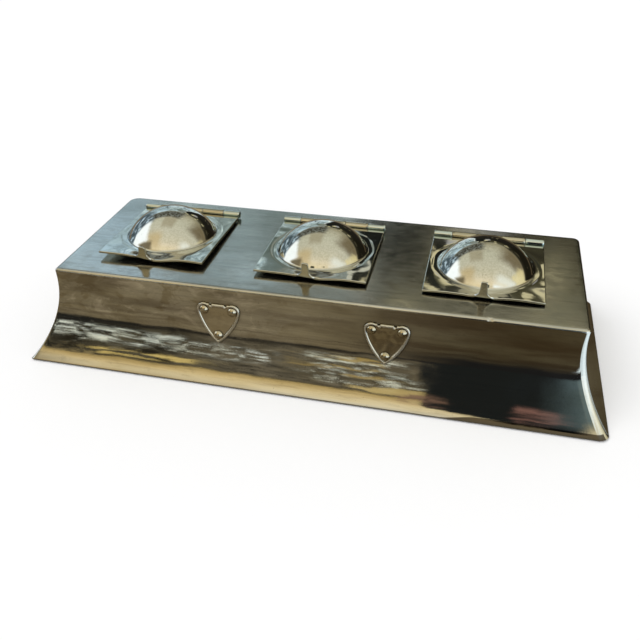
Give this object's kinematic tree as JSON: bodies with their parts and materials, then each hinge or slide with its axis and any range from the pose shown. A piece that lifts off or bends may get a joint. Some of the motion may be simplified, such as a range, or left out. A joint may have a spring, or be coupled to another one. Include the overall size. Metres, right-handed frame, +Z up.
{
  "type": "desk inkstand",
  "caption": "Long low desk inkstand of plated sheet metal with hollow flared sides, riveted heart plates and ink pots under hinged domed lids.",
  "frame": {"origin": "middle of the flat face that the inkstand stands on", "axes": "+X to the right along the length, +Y to the back where the hinges are, +Z up"},
  "size_m": [0.33, 0.1386, 0.0741],
  "materials": {
    "plated_sheet": "polished",
    "plated_lid": "polished",
    "plated_heart": "polished",
    "plated_hinge": "satin",
    "steel_pin": "satin",
    "brass_fixings": "satin",
    "base_wood": "satin",
    "baize": "matte",
    "pot_glass": "gloss"
  },
  "bodies": {
    "body": {"top_plate": "plated_sheet", "front_panel": "plated_sheet", "rear_panel": "plated_sheet", "left_end_panel": "plated_sheet", "right_end_panel": "plated_sheet", "base_board": "base_wood", "base_baize": "baize", "base_lugs": "brass_fixings", "base_screws": "brass_fixings", "heart_plate_left": "plated_heart", "heart_plate_right": "plated_heart", "heart_rivets_left": "plated_heart", "heart_rivets_right": "plated_heart", "left_ink_pot": "pot_glass", "centre_ink_pot": "pot_glass", "right_ink_pot": "pot_glass", "left_hinge_leaf": "plated_hinge", "centre_hinge_leaf": "plated_hinge", "right_hinge_leaf": "plated_hinge", "left_hinge_pin": "steel_pin", "centre_hinge_pin": "steel_pin", "right_hinge_pin": "steel_pin"},
    "left_lid": {"left_lid": "plated_lid", "left_lid_knuckles": "plated_hinge"},
    "centre_lid": {"centre_lid": "plated_lid", "centre_lid_knuckles": "plated_hinge"},
    "right_lid": {"right_lid": "plated_lid", "right_lid_knuckles": "plated_hinge"}
  },
  "joints": [
    {"name": "left_lid_hinge", "type": "hinge", "parent": "body", "child": "left_lid", "pos_m": [-0.09585, 0.034, 0.0578], "axis": [-1, 0, 0], "range_deg": [0, 154]},
    {"name": "centre_lid_hinge", "type": "hinge", "parent": "body", "child": "centre_lid", "pos_m": [-0.00125, 0.034, 0.0578], "axis": [-1, 0, 0], "range_deg": [0, 154]},
    {"name": "right_lid_hinge", "type": "hinge", "parent": "body", "child": "right_lid", "pos_m": [0.09335, 0.034, 0.0578], "axis": [-1, 0, 0], "range_deg": [0, 154]}
  ]
}
